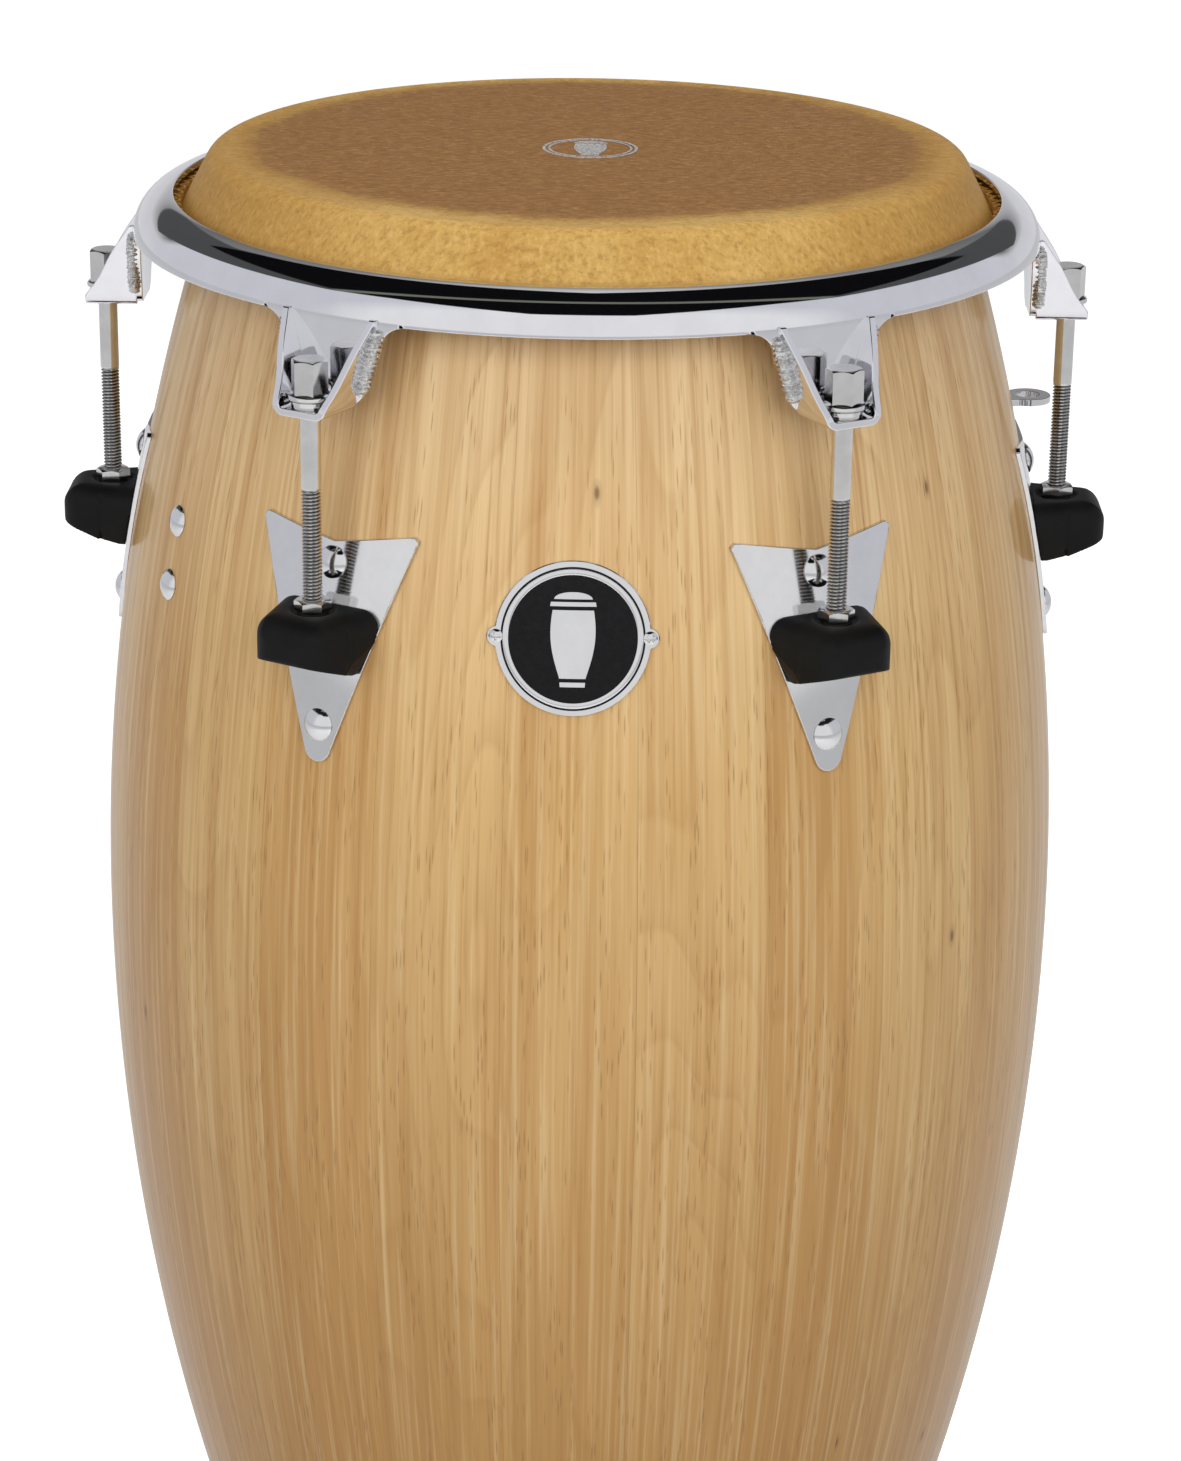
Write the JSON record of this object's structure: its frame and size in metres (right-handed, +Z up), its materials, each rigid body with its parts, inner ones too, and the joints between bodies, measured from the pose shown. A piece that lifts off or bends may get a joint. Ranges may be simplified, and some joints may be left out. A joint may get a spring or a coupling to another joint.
{
  "type": "conga drum",
  "caption": "Stave-built barrel hand drum with a raised rawhide head, rolled chromed rim, tuning bolts, arrowhead lug plates and a round front badge.",
  "frame": {"origin": "on the drum's axis at the floor, at the centre of the foot ring's underside", "axes": "+Z up along the drum's axis, front with the badge towards -Y"},
  "size_m": [0.4468, 0.4148, 0.762],
  "materials": {
    "wood_shell": "clear gloss lacquer over pale straight-grained hardwood",
    "foot_rubber": "matt moulded rubber",
    "rawhide": "matt stretched rawhide, browner on top and golden on the collar",
    "plain_steel": "zinc plated",
    "chrome_rim": "mirror chrome",
    "bright_steel": "bright machined steel",
    "chrome_hardware": "polished chrome",
    "badge_black": "gloss black enamel",
    "black_rubber": "matt black moulded rubber"
  },
  "bodies": {
    "root": {"shell_staves": "wood_shell", "foot_ring": "foot_rubber", "head_skin": "rawhide", "carriage_bolts": "chrome_hardware", "fender_washers": "plain_steel", "hex_nuts": "plain_steel", "badge_plate": "chrome_hardware", "badge_disc": "badge_black", "badge_screws": "bright_steel", "wrench_holder": "chrome_hardware", "receiver_nut_1": "bright_steel", "receiver_nut_2": "bright_steel", "receiver_nut_3": "bright_steel", "receiver_nut_4": "bright_steel", "receiver_nut_5": "bright_steel", "receiver_nut_6": "bright_steel", "protector_1": "black_rubber", "protector_2": "black_rubber", "protector_3": "black_rubber", "protector_4": "black_rubber", "protector_5": "black_rubber", "protector_6": "black_rubber", "lug_bracket_1": "plain_steel", "lug_bracket_2": "plain_steel", "lug_bracket_3": "plain_steel", "lug_bracket_4": "plain_steel", "lug_bracket_5": "plain_steel", "lug_bracket_6": "plain_steel", "side_plate_1": "chrome_hardware", "side_plate_2": "chrome_hardware", "side_plate_3": "chrome_hardware", "side_plate_4": "chrome_hardware", "side_plate_5": "chrome_hardware", "side_plate_6": "chrome_hardware"},
    "rim": {"rim": "chrome_rim", "head_tuck": "rawhide", "flesh_hoop": "plain_steel", "bolt_washers": "bright_steel", "rim_bracket_1": "chrome_rim", "rim_bracket_2": "chrome_rim", "rim_bracket_3": "chrome_rim", "rim_bracket_4": "chrome_rim", "rim_bracket_5": "chrome_rim", "rim_bracket_6": "chrome_rim"},
    "bolt_1": {"tuning_bolt_1": "bright_steel"},
    "bolt_2": {"tuning_bolt_2": "bright_steel"},
    "bolt_3": {"tuning_bolt_3": "bright_steel"},
    "bolt_4": {"tuning_bolt_4": "bright_steel"},
    "bolt_5": {"tuning_bolt_5": "bright_steel"},
    "bolt_6": {"tuning_bolt_6": "bright_steel"}
  },
  "joints": [
    {"name": "rim_slide", "type": "slide", "parent": "root", "child": "rim", "axis": [0, 0, 1], "range_m": [-0.006, 0.004]},
    {"name": "bolt_spin_1", "type": "hinge", "parent": "rim", "child": "bolt_1", "pos_m": [-0.1015, -0.1758, 0.65], "axis": [0, 0, 1], "range_deg": [-1620, 1080]},
    {"name": "bolt_spin_2", "type": "hinge", "parent": "rim", "child": "bolt_2", "pos_m": [0.1015, -0.1758, 0.65], "axis": [0, 0, 1], "range_deg": [-1620, 1080]},
    {"name": "bolt_spin_3", "type": "hinge", "parent": "rim", "child": "bolt_3", "pos_m": [0.203, 0, 0.65], "axis": [0, 0, 1], "range_deg": [-1620, 1080]},
    {"name": "bolt_spin_4", "type": "hinge", "parent": "rim", "child": "bolt_4", "pos_m": [0.1015, 0.1758, 0.65], "axis": [0, 0, 1], "range_deg": [-1620, 1080]},
    {"name": "bolt_spin_5", "type": "hinge", "parent": "rim", "child": "bolt_5", "pos_m": [-0.1015, 0.1758, 0.65], "axis": [0, 0, 1], "range_deg": [-1620, 1080]},
    {"name": "bolt_spin_6", "type": "hinge", "parent": "rim", "child": "bolt_6", "pos_m": [-0.203, 0, 0.65], "axis": [0, 0, 1], "range_deg": [-1620, 1080]}
  ],
  "couplings": [
    {"joint": "bolt_spin_1", "follows": "rim_slide", "rad_per_m": 4452.7},
    {"joint": "bolt_spin_2", "follows": "rim_slide", "rad_per_m": 4452.7},
    {"joint": "bolt_spin_3", "follows": "rim_slide", "rad_per_m": 4452.7},
    {"joint": "bolt_spin_4", "follows": "rim_slide", "rad_per_m": 4452.7},
    {"joint": "bolt_spin_5", "follows": "rim_slide", "rad_per_m": 4452.7},
    {"joint": "bolt_spin_6", "follows": "rim_slide", "rad_per_m": 4452.7}
  ]
}
